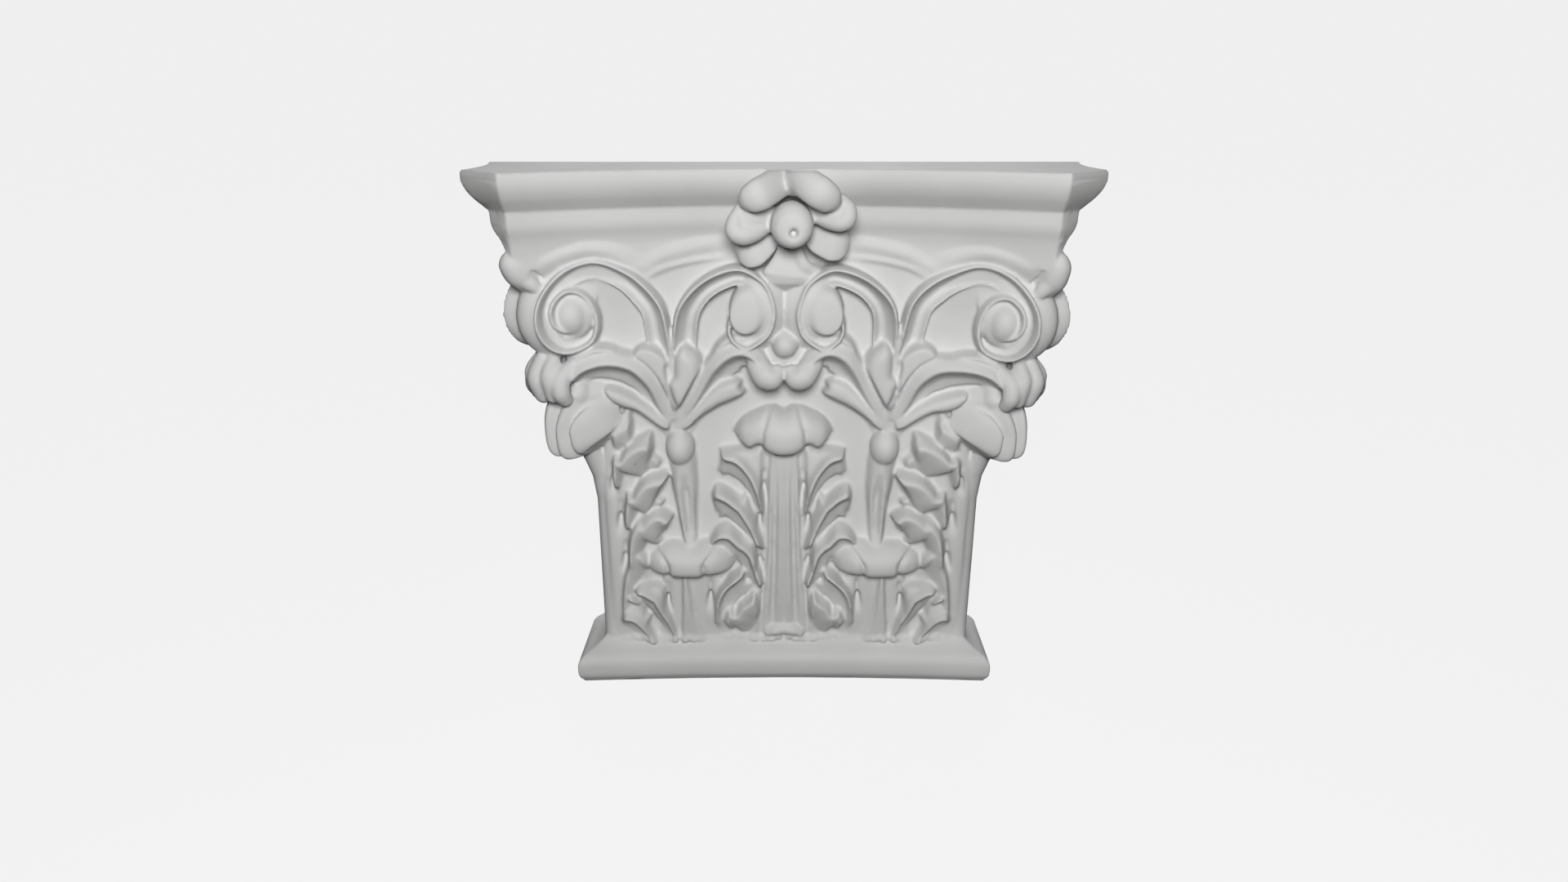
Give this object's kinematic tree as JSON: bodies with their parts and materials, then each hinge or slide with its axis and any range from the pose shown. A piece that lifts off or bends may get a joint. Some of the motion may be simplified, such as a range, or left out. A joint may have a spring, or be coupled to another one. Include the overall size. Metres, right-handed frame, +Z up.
{
  "type": "pilaster capital",
  "caption": "Corinthian capital for a flat pilaster: concave moulded top with a flower, corner scrolls and inner scrolls, ranks of acanthus leaves, and a plain rounded base with a flat back.",
  "frame": {"origin": "centre of the bounding box's underside", "axes": "+Z up, +X along the width, +Y towards the wall that the flat back meets, so the carved front faces -Y"},
  "size_m": [0.3544, 0.0959, 0.32],
  "materials": {
    "plaster": "matte cast plaster, unpainted pale grey"
  },
  "bodies": {
    "root": {"pilaster_capital": "plaster"}
  },
  "joints": []
}
